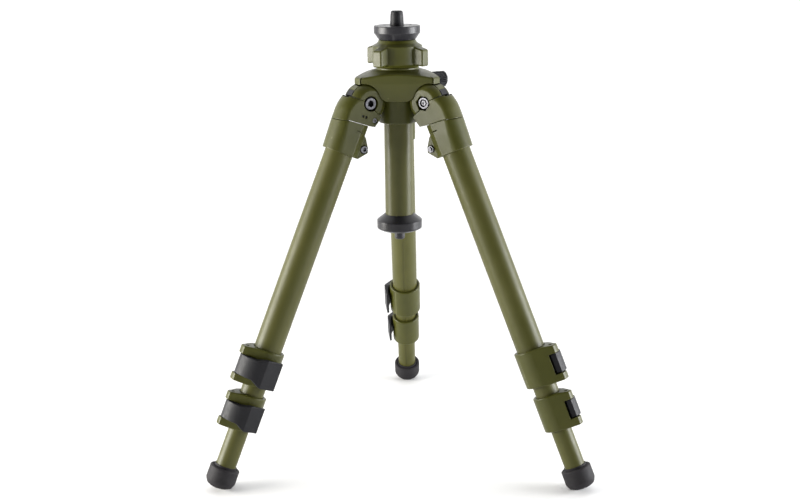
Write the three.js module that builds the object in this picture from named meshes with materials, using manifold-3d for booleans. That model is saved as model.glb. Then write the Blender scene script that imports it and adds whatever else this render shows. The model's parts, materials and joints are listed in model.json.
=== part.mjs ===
// A compact three-legged field stand: a centre column in a three-armed hub, and three legs
// of three telescoping tubes, held by flip levers. Millimetres, +Z up, the rear leg towards +Y.
import * as THREE from "three";
import { mergeVertices } from "three/addons/utils/BufferGeometryUtils.js";
import Module from "manifold-3d";

const wasm = await Module();
wasm.setup();

// ---------------------------------------------------------------- driving dimensions
const GAP = 0.3; // air between two pieces that touch
const LEG_ANGLE = THREE.MathUtils.degToRad(23.77); // leg to the vertical, at rest
const PIN_RADIUS = 38.9; // hinge pin to the column axis
const PIN_HEIGHT = 388.8; // hinge pin above the floor
const TUBE_OFFSET = 8; // leg tube axis outward of the pin
const LEGS = { left: 210, right: 330, rear: 90 }; // azimuth of each leg, degrees

const COLUMN = { radius: 14.8, bore: 13.3, top: 450.3, bottom: 262 };
const TOP_PLATE = { radius: 23.7, neck: 18.9, top: 464.6, wall: 7, bottom: 450.6 };
const CAP = { base: 7, tip: 5.9, height: 15, sink: 0.8 }; // it stands in a shallow round recess
const LOWER_PLATE = { radius: 23.8, top: 260.9, wall: 9 };
const STUD_RADIUS = 4.76; // 3/8 inch thread
const BUSH = { outer: 17.2, bore: 15.1, bottom: 366.5, top: 419.2 };
const HUB = {
  bore: 17.5, barrel: 20, barrelBottom: 365.5, // the sleeve round the column
  skirt: 390, brow: 408, shoulder: 413, top: 420.5, // heights of the dome
  corner: 47, flat: 31.5, crown: 23, // its reach over the legs and between them, and its flat top
  boss: 22, spigot: 19.6, // the ring under the lock collar and the thread inside it
};
const COLLAR = { body: 25.5, lobe: 34.5, lobeHalf: 5.5, bottom: 423.2, top: 450.3, azimuth: 54 };
const KNOB = { radius: 8, azimuth: 30, height: 406.5, inner: 33.5, outer: 54.5 };

const CHEEK = { outer: 19.5, face: 13, inner: 6.8, half: 15 }; // the two round hinge cheeks
const CLAMP_HALF = 16.2; // flats of the clamp round the upper tube
const TONGUE_HALF = 6.5; // the hub's hinge tongue
const EYE = 13.2; // its round end
const CHANNEL = 20.2; // room under the hub's arm for the angle stop
const BOLT = { shank: 4, head: 6.5, headIn: 9.6, headOut: 14.4, recess: 7.6 };
const CLAMP_BOLT = { x: -13.5, z: -45.7 }; // in a leg's own frame
const STOP = { inner: 16.2, outer: 19.7, half: 6.2 };

const UPPER = { radius: 14.6, bore: 13.1, from: 28, to: 296 };
const MIDDLE = { radius: 12.4, bore: 11, from: 66, to: 346, guide: 12.8 };
const LOWER = { radius: 10.65, bore: 9.3, from: 82, to: 420 };
const UPPER_LOCK = { tube: UPPER, next: MIDDLE, top: 272.8, height: 40, body: 18.2, size: 1 };
const LOWER_LOCK = { tube: MIDDLE, next: LOWER, top: 322.6, height: 40, body: 16.2, size: 0.91 };
const FOOT = { radius: 15.65, top: 401.5, bottom: 425.2 };

const ROUND = 20; // sides of a full circle on the larger turned pieces
const SMALL_ROUND = 12; // and on the small ones

// ---------------------------------------------------------------- materials
function finish(color, roughness, metalness) {
  return { color, roughness, metalness };
}
const OLIVE_CAST = finish(0x5a5c32, 0.42, 0.25);
const OLIVE_TUBE = finish(0x5c5e36, 0.32, 0.45);
const BLACK_METAL = finish(0x2b2a2e, 0.4, 0.6);
const BLACK_PLASTIC = finish(0x1f1f22, 0.45, 0);
const RUBBER = finish(0x262427, 0.8, 0);
const STEEL = finish(0x8c8c94, 0.3, 0.9);
const NYLON = finish(0x3a3a3a, 0.6, 0);

// ---------------------------------------------------------------- geometry helpers
function solid(geometry) {
  const bare = geometry.index ? geometry.toNonIndexed() : geometry.clone();
  bare.deleteAttribute("normal");
  bare.deleteAttribute("uv");
  const merged = mergeVertices(bare, 1e-4);
  const mesh = new wasm.Mesh({
    numProp: 3,
    vertProperties: merged.attributes.position.array,
    triVerts: new Uint32Array(merged.index.array),
  });
  return new wasm.Manifold(mesh);
}

function geometryOf(made) {
  const mesh = made.getMesh();
  const geometry = new THREE.BufferGeometry();
  const points = Float32Array.from(mesh.vertProperties);
  geometry.setAttribute("position", new THREE.BufferAttribute(points, 3));
  geometry.setIndex(new THREE.BufferAttribute(Uint32Array.from(mesh.triVerts), 1));
  const flat = geometry.toNonIndexed();
  flat.computeVertexNormals();
  return flat;
}

const toVectors = (points) => points.map(([x, y]) => new THREE.Vector2(x, y));

// A turned piece about Z. The profile lists (radius, z) upwards on its outer side.
function turned(profile, sides = ROUND) {
  return new THREE.LatheGeometry(toVectors(profile), sides).rotateX(Math.PI / 2);
}

// A solid disc or a ring about Z.
function disc(radius, z0, z1, sides = ROUND) {
  return turned([[0, z0], [radius, z0], [radius, z1], [0, z1]], sides);
}
function ring(bore, radius, z0, z1, sides = ROUND) {
  return turned([[bore, z0], [radius, z0], [radius, z1], [bore, z1], [bore, z0]], sides);
}

// An outline in X and Y, pushed up Z from z0 to z1.
function plate(outline, z0, z1) {
  const shape = new THREE.Shape(toVectors(outline));
  const geometry = new THREE.ExtrudeGeometry(shape, { depth: z1 - z0, bevelEnabled: false });
  return geometry.translate(0, 0, z0);
}

// A side view in X and Z, made thick along Y from y0 to y1.
function sideways(outline, y0, y1) {
  return plate(outline, -y1, -y0).rotateX(Math.PI / 2);
}

// A turned piece about Y: the profile lists (radius, y).
function turnedAboutY(profile, sides = ROUND) {
  return new THREE.LatheGeometry(toVectors(profile), sides);
}
function discAboutY(radius, y0, y1, sides = SMALL_ROUND) {
  return turnedAboutY([[0, y0], [radius, y0], [radius, y1], [0, y1]], sides);
}

function box(x0, x1, y0, y1, z0, z1) {
  const geometry = new THREE.BoxGeometry(x1 - x0, y1 - y0, z1 - z0);
  return geometry.translate((x0 + x1) / 2, (y0 + y1) / 2, (z0 + z1) / 2);
}

// Points on an arc, angles in degrees.
function arc(x, y, radius, from, to, steps) {
  const points = [];
  for (let i = 0; i <= steps; i++) {
    const angle = THREE.MathUtils.degToRad(from + ((to - from) * i) / steps);
    points.push([x + radius * Math.cos(angle), y + radius * Math.sin(angle)]);
  }
  return points;
}

const join = (...pieces) => pieces.map(solid).reduce((a, b) => a.add(b));
const cut = (from, ...tools) => tools.map(solid).reduce((a, b) => a.subtract(b), from);

function node(name, made, look) {
  const geometry = made.isBufferGeometry ? made : geometryOf(made);
  const mesh = new THREE.Mesh(geometry, new THREE.MeshStandardMaterial(look));
  mesh.name = name;
  return mesh;
}

// ---------------------------------------------------------------- centre column
function topPlate() {
  const { radius, neck, top, wall, bottom } = TOP_PLATE;
  const plug = COLUMN.bore - GAP;
  const bore = STUD_RADIUS + GAP;
  const recess = CAP.base + 0.5;
  return turned([
    [bore, bottom - 12], [plug, bottom - 12], [plug, bottom], [neck, bottom],
    [radius, top - wall], [radius, top - 0.8], [radius - 0.8, top], [recess, top],
    [recess, top - CAP.sink], [bore, top - CAP.sink], [bore, bottom - 12],
  ], 24);
}

function studCap() {
  const base = TOP_PLATE.top - CAP.sink + GAP;
  const bore = STUD_RADIUS + GAP;
  const end = base + CAP.height;
  const ceiling = end - 1.5;
  return turned([
    [bore, base], [CAP.base, base], [CAP.tip, end - 1.5], [CAP.tip - 1, end],
    [0, end], [0, ceiling], [bore, ceiling], [bore, base],
  ], SMALL_ROUND);
}

function lowerPlate() {
  const { radius, top, wall } = LOWER_PLATE;
  const plug = COLUMN.bore - GAP;
  const bore = STUD_RADIUS + GAP;
  const under = top - wall;
  return turned([
    [bore, under - 2.4], [radius - 5, under - 2.4], [radius - 1.2, under - 1], [radius, under],
    [radius, top], [COLUMN.radius + 0.6, top + 6.5], [COLUMN.radius + GAP, top + 6.5],
    [COLUMN.radius + GAP, COLUMN.bottom - GAP], [plug - 2, COLUMN.bottom - GAP],
    [plug - 2, COLUMN.bottom + 6], [bore, COLUMN.bottom + 6], [bore, under - 2.4],
  ]);
}

function lowerStud() {
  const bottom = 239.5;
  const shoulder = LOWER_PLATE.top - LOWER_PLATE.wall - 2.4 - GAP;
  return turned([
    [0, bottom], [3.4, bottom + 0.4], [5.4, bottom + 2.4], [5.4, shoulder],
    [STUD_RADIUS, shoulder], [STUD_RADIUS, COLUMN.bottom + 4], [0, COLUMN.bottom + 4],
  ], SMALL_ROUND);
}

function addColumn(parent) {
  const tube = ring(COLUMN.bore, COLUMN.radius, COLUMN.bottom, COLUMN.top);
  const stud = disc(STUD_RADIUS, TOP_PLATE.bottom - 11, TOP_PLATE.top + 11.5, SMALL_ROUND);
  parent.add(node("column_tube", tube, OLIVE_TUBE));
  parent.add(node("top_plate", topPlate(), BLACK_METAL));
  parent.add(node("top_stud", stud, STEEL));
  parent.add(node("stud_cap", studCap(), BLACK_PLASTIC));
  parent.add(node("lower_plate", lowerPlate(), BLACK_METAL));
  parent.add(node("lower_stud", lowerStud(), BLACK_METAL));
}

// ---------------------------------------------------------------- hub
const inArm = (geometry, azimuth) => geometry.rotateZ(THREE.MathUtils.degToRad(azimuth));
const atPin = (geometry) => geometry.translate(PIN_RADIUS, 0, PIN_HEIGHT);

// The hub seen from above at one height: three blunt corners over the legs, and slightly
// bowed flats between them.
function hubOutline(corner, flat) {
  const outline = [];
  for (const azimuth of [330, 90, 210]) {
    const turn = THREE.MathUtils.degToRad(azimuth);
    const half = corner - 1.9;
    for (const [along, across] of [[half, -8.3], [corner, -6.3], [corner, 6.3], [half, 8.3]]) {
      const x = along * Math.cos(turn) - across * Math.sin(turn);
      const y = along * Math.sin(turn) + across * Math.cos(turn);
      outline.push([x, y]);
    }
    for (const point of arc(0, 0, flat, azimuth + 52, azimuth + 68, 2)) outline.push(point);
  }
  return outline;
}

// A closed skin through equal outlines at rising heights.
function loft(outlines, heights) {
  const count = outlines[0].length;
  const positions = outlines.flatMap((level, i) => level.map(([x, y]) => [x, y, heights[i]]));
  const index = [];
  for (let level = 0; level + 1 < outlines.length; level++) {
    for (let i = 0; i < count; i++) {
      const a = level * count + i;
      const b = level * count + ((i + 1) % count);
      index.push(a, b, b + count, a, b + count, a + count);
    }
  }
  const last = (outlines.length - 1) * count;
  for (const [a, b, c] of THREE.ShapeUtils.triangulateShape(toVectors(outlines[0]), [])) {
    index.push(c, b, a);
    index.push(last + a, last + b, last + c);
  }
  const geometry = new THREE.BufferGeometry();
  geometry.setAttribute("position", new THREE.Float32BufferAttribute(positions.flat(), 3));
  geometry.setIndex(index);
  return geometry;
}

function hubDome() {
  const { skirt, brow, shoulder, top, corner, flat, crown } = HUB;
  const widest = hubOutline(corner, flat);
  const sides = loft(
    [hubOutline(corner - 3, flat - 4), widest, widest, hubOutline(corner - 5, flat - 4.5)],
    [skirt, brow, shoulder, top],
  );
  const beyond = 60;
  const cap = turned([
    [0, skirt], [beyond, skirt], [beyond, brow], [corner, shoulder + 1], [crown, top], [0, top],
  ], 24);
  return solid(sides).intersect(solid(cap));
}

// The tongue of one arm: the round eye, its neck, the room for the angle stop.
function tongue() {
  const neck = [[-21, -3], [0, -EYE + 0.1], [0, EYE - 0.1], [-8, 20], [-8, 28], [-21, 28]];
  return join(
    atPin(discAboutY(EYE, -TONGUE_HALF, TONGUE_HALF, ROUND)),
    atPin(sideways(neck, -TONGUE_HALF, TONGUE_HALF)),
  );
}

// The room that the leg's cheeks turn in, round on the outside like the cheeks.
function cheekPocket(side) {
  const inner = side * (TONGUE_HALF - 0.02);
  const profile = [[0, inner], [20, inner], [20, side * 10], [14.4, side * 15.4], [0, side * 15.4]];
  if (side < 0) profile.reverse();
  return atPin(turnedAboutY(profile, 20));
}

function stopChannel() {
  const outline = [...arc(0, 0, CHANNEL, 50, 127, 8), ...arc(0, 0, EYE + GAP, 127, 50, 8)];
  return atPin(sideways(outline, -TONGUE_HALF - 0.4, TONGUE_HALF + 0.4));
}

function hub() {
  let made = hubDome();
  made = made.add(solid(disc(HUB.barrel, HUB.barrelBottom, HUB.skirt + 10)));
  made = made.add(solid(disc(HUB.boss, HUB.top - 2, COLLAR.bottom - GAP)));
  made = made.add(solid(disc(HUB.spigot, HUB.top, 438)));
  for (const azimuth of Object.values(LEGS)) {
    made = cut(made, inArm(cheekPocket(1), azimuth), inArm(cheekPocket(-1), azimuth));
    const stem = tongue().subtract(solid(stopChannel()));
    made = cut(made, inArm(atPin(box(-10, 30, -6.6, 6.6, -30, 18.4)), azimuth));
    made = made.add(solid(inArm(geometryOf(stem), azimuth)));
    const boltHole = atPin(discAboutY(BOLT.shank + GAP, -12, 12));
    made = cut(made, inArm(stopChannel(), azimuth), inArm(boltHole, azimuth));
  }
  const knobHole = disc(3.3, 0, 60, 12).rotateY(Math.PI / 2).translate(0, 0, KNOB.height);
  made = cut(made, inArm(knobHole, KNOB.azimuth), disc(HUB.bore, 300, 480));
  return made;
}

function guideBush() {
  const made = solid(ring(BUSH.bore, BUSH.outer, BUSH.bottom, BUSH.top));
  const dent = disc(3.3, 16, 20, 12).rotateY(Math.PI / 2).translate(0, 0, KNOB.height);
  return cut(made, inArm(dent, KNOB.azimuth));
}

function columnCollet() {
  const made = solid(turned([
    [BUSH.bore, BUSH.top + GAP], [BUSH.outer, BUSH.top + GAP], [BUSH.outer, 441.5],
    [BUSH.bore + 0.5, 445.5], [BUSH.bore, 445.5], [BUSH.bore, BUSH.top + GAP],
  ]));
  return cut(made, box(0, 30, -1, 1, 400, 460));
}

function lockCollar() {
  const { body, lobe, lobeHalf, bottom, top, azimuth } = COLLAR;
  const barrel = turned([
    [20, bottom], [22.8, bottom], [body, 426.3], [body, 444.6], [21.2, 446.8], [20.3, 447.6],
    [19.6, top], [15.2, top], [15.2, 447.4], [20, 440], [20, bottom],
  ], 24);
  const wing = [
    [22, 426.4], [lobe - 1.2, 424.8], [lobe, 426], [lobe, 440.6], [lobe - 1.2, 441.8], [22, 445],
  ];
  let made = solid(barrel);
  for (let i = 0; i < 4; i++) {
    made = made.add(solid(inArm(sideways(wing, -lobeHalf, lobeHalf), azimuth + 90 * i)));
  }
  return made;
}

function sideKnob() {
  const { radius, azimuth, height, inner, outer } = KNOB;
  const made = turned([
    [0, 18], [3, 18], [3, inner], [radius - 1, inner], [radius, inner + 1],
    [radius, outer - 1.5], [radius - 1.5, outer], [0, outer],
  ], 20);
  return inArm(made.rotateY(Math.PI / 2).translate(0, 0, height), azimuth);
}

function addHub(parent) {
  parent.add(node("hub_casting", hub(), OLIVE_CAST));
  parent.add(node("guide_bush", guideBush(), NYLON));
  parent.add(node("column_collet", columnCollet(), NYLON));
  parent.add(node("lock_collar", lockCollar(), OLIVE_CAST));
  parent.add(node("side_knob", sideKnob(), BLACK_PLASTIC));
}

// ---------------------------------------------------------------- leg top
// In a leg's own frame the pin is the origin, X points outward, Y sideways, and the leg runs
// down -Z, with its tubes about the line X = TUBE_OFFSET.
const onTube = (geometry) => geometry.translate(TUBE_OFFSET, 0, 0);
const SEAM_SLOPE = 6.5 / 20.1; // the joint between cheeks and shoulder falls inward
const seamHeight = (x) => Math.min(0, (x - 8.5) * SEAM_SLOPE);

// Room between the cheeks for the hub's tongue: the eye, and the sector that the arm sweeps.
function tongueSlot() {
  const sector = [[0, 0], ...arc(0, 0, 34, -8, 215, 10)];
  return join(
    discAboutY(EYE + GAP + 0.1, -CHEEK.inner, CHEEK.inner, ROUND),
    sideways(sector, -CHEEK.inner, CHEEK.inner),
  );
}

function hexAboutY(corner, y0, y1) {
  return turnedAboutY([[0, y0], [corner, y0], [corner, y1], [0, y1]], 6);
}

function boltRecesses() {
  return [
    discAboutY(BOLT.recess, BOLT.headIn - GAP, 20, 20),
    hexAboutY(8.1, -20, -BOLT.headIn + GAP),
    discAboutY(BOLT.shank + GAP, -20, 20),
  ];
}

function cheekDisc(radius, face) {
  const { half } = CHEEK;
  const rim = 9.5;
  return turnedAboutY([
    [0, -half], [face, -half], [radius, -rim], [radius, rim], [face, half], [0, half],
  ], ROUND);
}

function hingeKnuckle() {
  const above = sideways([[-40, seamHeight(-40)], [8.5, 0], [40, 0], [40, 40], [-40, 40]], -20, 20);
  const cheeks = solid(cheekDisc(CHEEK.outer, CHEEK.face)).intersect(solid(above));
  const lugs = solid(discAboutY(17.2, -11, 11, ROUND));
  const web = solid(box(-4.5, 18.5, -10, 10, -21.2, -11));
  const spigot = solid(onTube(ring(9, UPPER.bore - GAP, -54, -21)));
  return cut(cheeks.add(lugs).add(web).add(spigot).subtract(tongueSlot()), ...boltRecesses());
}

// The cover below the cheeks: round about the tube outside, flat-sided towards the pin.
function legShoulder() {
  const { half } = CHEEK;
  const barrel = turned([[0, -29], [19.2, -29], [19.2, -15], [16.8, -2], [14.6, -0.6], [0, -0.6]], 20);
  const wide = box(-20, 40, -half, half, -29, -0.6);
  const flank = box(-20, TUBE_OFFSET, -half, half, -29, -0.6);
  const skin = solid(onTube(barrel)).intersect(solid(wide)).add(solid(flank));
  const outline = [
    [28, -27], [16, -23.4], [-7.5, -21.6], [-13.5, -20.5], [-17, -8.6],
    [-11.6, seamHeight(-11.6) - GAP], [8.5, -GAP], [8.5, -0.6], [28, -0.6],
  ];
  const block = skin.intersect(solid(sideways(outline, -20, 20)));
  const lugRoom = discAboutY(17.2 + GAP + 0.1, -11 - GAP, 11 + GAP, ROUND);
  const webRoom = box(-5.3, 19.3, -10.3, 10.3, -30, -11);
  const spigotRoom = onTube(disc(UPPER.bore, -32, -20.7));
  const sweep = geometryOf(tongueSlot());
  return cut(block, lugRoom, webRoom, spigotRoom, sweep, ...boltRecesses());
}

function tubeClamp() {
  const inner = -9;
  const half = CLAMP_HALF;
  const barrel = solid(onTube(turned([[0, -57], [18, -57], [19.2, -27], [19.2, -20], [0, -20]], 20)));
  const wide = box(inner, 40, -half, half, -60, -10);
  const outline = [
    [28, -57], [inner, -57], [inner, -21.8], [-7.5, -21.9], [16, -23.75], [28, -27.4],
  ];
  const lug = [
    [-4, -31], [-8.5, -31.5], [-11.5, -34.3], [-17.4, -42.6], [-19.3, -47.8], [-10.8, -57], [-4, -57],
  ];
  const shell = barrel.intersect(solid(wide)).intersect(solid(sideways(outline, -20, 20)));
  const { x, z } = CLAMP_BOLT;
  return cut(
    shell.add(solid(sideways(lug, -9, 9))),
    onTube(disc(UPPER.radius + GAP, -70, -10)),
    box(-22, 0, -0.8, 0.8, -60, -10),
    discAboutY(2.3, -12, 12, 12).translate(x, 0, z),
    discAboutY(4.3, 6, 12, 12).translate(x, 0, z),
  );
}

function hingeBolt() {
  const { shank, head, headIn, headOut } = BOLT;
  const made = join(discAboutY(shank, -headIn, headIn + 1), discAboutY(head, headIn, headOut, 20));
  const key = hexAboutY(3.3, headOut - 4, headOut + 1);
  return cut(made.add(solid(hexAboutY(7.4, -headOut + 0.4, -headIn))), key);
}

function clampBolt() {
  const made = join(discAboutY(2, -8.5, 7, 12), discAboutY(4, 6.4, 9.6, 12));
  const nut = solid(hexAboutY(3.9, -12, -9.3)).add(solid(discAboutY(2, -10, -8, 12)));
  const key = hexAboutY(1.7, 8, 11);
  return geometryOf(cut(made.add(nut), key)).translate(CLAMP_BOLT.x, 0, CLAMP_BOLT.z);
}

function angleStop() {
  const outline = [...arc(0, 0, STOP.outer, 2, 41, 5), ...arc(0, 0, STOP.inner, 41, 2, 5)];
  return sideways(outline, -STOP.half, STOP.half);
}

// ---------------------------------------------------------------- leg tubes
function legTube({ radius, bore, from, to, guide }) {
  const profile = [[bore, -to], [radius, -to]];
  if (guide) {
    profile.push([radius, -from - 12], [guide, -from - 12], [guide, -from]);
  } else {
    profile.push([radius, -from]);
  }
  profile.push([bore, -from], [bore, -to]);
  return onTube(turned(profile));
}

// ---------------------------------------------------------------- flip locks
// Each lock is a collar with two ears on its outward side. The lever turns between the ears
// and lies round the sideways (+Y) face. `size` scales the ears and lever of the smaller lock.
const PIVOT = 23; // ear pivot to the tube axis
const EAR_END = 6; // radius of the ear's end
const EAR_LIFT = 4.4; // the ears end above the bottom of the collar
const WINDOW = { from: 10.3, tall: 21.5 }; // the lever's room, down from the top of the lock
const LEVER_AIR = 0.45; // above and below the lever, in its room

function lockBody({ tube, next, top, height, body, size }) {
  const pivot = PIVOT * size;
  const end = EAR_END * size;
  const outline = [
    ...arc(0, 0, body, 58, 302, 10),
    [pivot + 1.6, -end], ...arc(pivot, 0, end, -66, 66, 4), [pivot + 1.6, end],
  ];
  const blank = solid(plate(outline, -top - height, -top));
  const pocketTop = -top - WINDOW.from;
  const pocketBottom = pocketTop - WINDOW.tall * size;
  const clear = 8.2 * size;
  const skin = body + 0.2;
  const leverRoom = [
    [-20, skin], [0, skin], ...arc(0, 0, skin, 78, 34, 3), [16.2 * size, 5 * size], [pivot, 0],
    [pivot + 14, 0], [pivot + 14, 30], [-20, 30],
  ];
  const made = cut(
    blank,
    disc(tube.radius + GAP, -tube.to - GAP, 0),
    disc(next.radius + GAP, -top - height - 1, -tube.to),
    disc(clear, pocketBottom, pocketTop, 12).translate(pivot, 0, 0),
    plate(leverRoom, pocketBottom, pocketTop),
    box(pivot, pivot + 20, -clear, clear, pocketBottom, pocketTop),
    box(body + 1, pivot + 20, -20, 20, -top - height - 1, -top - height + EAR_LIFT),
    disc(1.8, -top - height - 1, 0, 8).translate(pivot, 0, 0),
  );
  return onTube(geometryOf(made));
}

function lockLever({ top, size }) {
  const pivot = PIVOT * size;
  const reach = (x, y) => [x * size, y * size];
  const z1 = -top - WINDOW.from - LEVER_AIR;
  const z0 = -top - WINDOW.from - WINDOW.tall * size + LEVER_AIR;
  const outer = [
    reach(26.6, -2.5), reach(28, 3), reach(27, 8), reach(24, 14), reach(18, 20), reach(10, 24),
    reach(0, 25), reach(-10, 22),
  ];
  const inner = [
    reach(-9.5, 19.4), reach(0, 20.6), reach(7, 18.8), reach(13.5, 14.6), reach(17.4, 8),
    reach(17.6, -2.5), reach(22, -5),
  ];
  const paddle = [reach(1, 24.9), reach(-10, 22), reach(-9.5, 19.4), reach(1, 20.6)];
  const made = join(
    plate([...outer, ...inner], z0, z1),
    plate(paddle, z0 - 6 * size, z1 + 3.6 * size),
  );
  const pinHole = disc(1.8, -500, 0, 8).translate(pivot, 0, 0);
  return onTube(geometryOf(cut(made, pinHole)));
}

function lockPin({ top, height, size }) {
  const low = -top - height + EAR_LIFT + 0.5;
  return onTube(disc(1.5, low, -top - 0.5, 8).translate(PIVOT * size, 0, 0));
}

function foot() {
  const { radius, top, bottom } = FOOT;
  const bore = LOWER.radius + GAP;
  return onTube(turned([
    [0, -bottom], [9, -bottom + 0.4], [13.6, -bottom + 2.6], [radius, -bottom + 7],
    [radius, -top - 4.5], [14.4, -top - 2.4], [12, -top - 3.2], [11.8, -top], [bore, -top],
    [bore, -LOWER.to - GAP], [0, -LOWER.to - GAP],
  ]));
}

function addLeg(parent, side, azimuth) {
  const arm = new THREE.Group();
  arm.rotation.z = THREE.MathUtils.degToRad(azimuth);
  const leg = new THREE.Group();
  leg.position.set(PIN_RADIUS, 0, PIN_HEIGHT);
  leg.rotation.y = -LEG_ANGLE;
  arm.add(leg);
  parent.add(arm);
  const add = (name, made, look) => leg.add(node(`${side}_${name}`, made, look));
  add("hinge_knuckle", hingeKnuckle(), OLIVE_CAST);
  add("leg_shoulder", legShoulder(), OLIVE_CAST);
  add("tube_clamp", tubeClamp(), OLIVE_CAST);
  add("hinge_bolt", hingeBolt(), STEEL);
  add("clamp_bolt", clampBolt(), STEEL);
  add("angle_stop", angleStop(), BLACK_PLASTIC);
  add("upper_tube", legTube(UPPER), OLIVE_TUBE);
  add("middle_tube", legTube(MIDDLE), OLIVE_TUBE);
  add("lower_tube", legTube(LOWER), OLIVE_TUBE);
  for (const [level, lock] of [["upper", UPPER_LOCK], ["lower", LOWER_LOCK]]) {
    add(`${level}_lock`, lockBody(lock), OLIVE_CAST);
    add(`${level}_lever`, lockLever(lock), BLACK_PLASTIC);
    add(`${level}_lock_pin`, lockPin(lock), STEEL);
  }
  add("foot", foot(), RUBBER);
}

// ---------------------------------------------------------------- assembly
const stand = new THREE.Group();
addHub(stand);
addColumn(stand);
for (const [side, azimuth] of Object.entries(LEGS)) addLeg(stand, side, azimuth);

// The origin is under the middle of the bounding box, on the floor.
stand.updateMatrixWorld(true);
const bounds = new THREE.Box3().setFromObject(stand, true);
const middle = bounds.getCenter(new THREE.Vector3());
stand.position.set(-middle.x, -middle.y, -bounds.min.z);

const tripod = new THREE.Group();
tripod.add(stand);
export default tripod;
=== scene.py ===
"""A compact field tripod: the finished surfaces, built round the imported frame.

Castings, levers and other rounded pieces are signed-distance fields in millimetres, meshed by
surface nets. Turned pieces are lathes. The stand's own frame has the column's axis as Z and the
floor near zero; a leg's own frame has its hinge pin as origin, n outward, t sideways, z up the leg.
"""
import json
import math

import bpy
import numpy as np
from mathutils import Matrix, Vector


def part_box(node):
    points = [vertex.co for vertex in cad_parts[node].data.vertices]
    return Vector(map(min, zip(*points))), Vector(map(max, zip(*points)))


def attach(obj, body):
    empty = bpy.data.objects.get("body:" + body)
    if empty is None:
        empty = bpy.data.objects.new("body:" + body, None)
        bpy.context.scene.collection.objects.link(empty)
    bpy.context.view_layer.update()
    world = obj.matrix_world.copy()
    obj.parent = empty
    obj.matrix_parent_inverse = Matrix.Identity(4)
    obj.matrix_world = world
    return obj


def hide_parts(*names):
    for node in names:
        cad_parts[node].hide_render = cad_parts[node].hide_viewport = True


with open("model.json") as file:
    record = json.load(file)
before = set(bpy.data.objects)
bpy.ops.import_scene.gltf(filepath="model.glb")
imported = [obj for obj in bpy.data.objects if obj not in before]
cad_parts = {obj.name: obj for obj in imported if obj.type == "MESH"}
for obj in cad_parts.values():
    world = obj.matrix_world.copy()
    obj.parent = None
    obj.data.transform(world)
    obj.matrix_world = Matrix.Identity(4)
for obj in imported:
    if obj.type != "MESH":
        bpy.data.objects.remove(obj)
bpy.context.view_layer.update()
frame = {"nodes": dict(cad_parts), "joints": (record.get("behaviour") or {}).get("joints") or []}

MM = 0.001
joints = {joint["name"]: joint for joint in frame["joints"]}

# ---------------------------------------------------------------- dimensions, millimetres
COLUMN_TOP = 450.3
column_low, column_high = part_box("column_tube")
AXIS = Vector((
    (column_low.x + column_high.x) / 2,
    (column_low.y + column_high.y) / 2,
    column_high.z - COLUMN_TOP * MM,
))
STAND = Matrix.Translation(AXIS) @ Matrix.Scale(MM, 4)

PIN_RADIUS, PIN_HEIGHT = 38.9, 388.8  # the hinge pins: out from the axis, above the floor
TUBE_OFFSET = 8  # the leg tubes' axis, outside the hinge pin
LEGS = {"left": 210, "right": 330, "rear": 90}  # the legs' azimuths, in degrees
ARM_STEP = math.radians(120)
ARM_START = math.radians(90)
ARM_END, ARM_CHAMFER = 46.9, 53.4
APRON = {"out": 31.2, "top": 409, "bow": 338}
CROWN = {"height": 420.5, "slope": 0.27, "from": 23}
BARREL = {"radius": 20, "bottom": 365.5}
BOSS = {"radius": 22, "top": 422.9}
HUB_BORE = 17.5
TONGUE = {"radius": 13.2, "half": 6.5}
CHANNEL = {"inner": 13.6, "outer": 20.2, "half": 6.95, "from": 0.87, "to": 2.2}  # angles in radians

DRUM = {"radius": 19.5, "half": 15, "round": 11, "centre": (8.67, 4.9)}
SLOT_HALF = 6.8
SEAM_SLOPE = 6.5 / 20.1  # the joint between knuckle and shoulder
COLLAR_AZIMUTH = math.radians(56)
LOBE = {"reach": 35.4, "half": 5.5, "top": 445.2, "bottom": 424.7}
KNOB = {
    "azimuth": 30, "height": 406.5, "inner": 33.5, "outer": 56, "radius": 8.2,
    "teeth": 24, "tooth_depth": 0.95,
}
CLAMP_BOLT = (-13.5, -45.7)
COUNTER_SCREW = (-11, -14.5)
PIN_SPOTS, PIN_LEVEL = (3.7, -0.1), -14.5
STOP_PAD, STOP_NOSE = (2, 21.3), (21.5, 41.3)  # where the angle stop's two parts reach, in degrees
CHEEK_FACE = 13.4  # the floors of the shoulder's shallow holes
COLUMN = {"radius": 14.8, "bore": 13.3, "bottom": 262}
UPPER = {"radius": 14.6, "bore": 13.1, "top": 28, "end": 296}
MIDDLE = {"radius": 12.4, "bore": 11, "top": 66, "end": 346}
LOWER = {"radius": 10.65, "bore": 9.3, "top": 82, "end": 420}
UPPER_LOCK = {"tube": UPPER, "next": MIDDLE, "top": 272.8, "height": 39.2, "body": 18.2, "size": 1}
LOWER_LOCK = {"tube": MIDDLE, "next": LOWER, "top": 322.6, "height": 38, "body": 16.2, "size": 0.91}

# A flip lock at size 1, in the frame of its tube: x runs out towards the lever's pin.
PIVOT = 23
PIN_HOLE = 1.75
WINDOW_FROM, WINDOW_TALL = 10.3, 21.5
LEVER_AIR = 0.45
EAR = {"centre": 11.6, "radius": 17, "flank": math.radians(59.4), "droop": 2}

CELL = 0.6
FINE = CELL * 0.85
FINEST = CELL * 0.5


# ---------------------------------------------------------------- distances, negative inside
def both(a, b, r=0.01):
    """Where a and b overlap, with the edge between them rounded to radius r."""
    return np.minimum(-r, np.maximum(a, b)) + np.hypot(np.maximum(r + a, 0), np.maximum(r + b, 0))


def either(a, b, r=0.01):
    """a and b together, with a fillet of radius r."""
    return np.maximum(r, np.minimum(a, b)) - np.hypot(np.maximum(r - a, 0), np.maximum(r - b, 0))


def without(a, b, r=0.01):
    """a with b cut out of it, and the edge of the cut rounded."""
    return both(a, -b, r)


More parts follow.
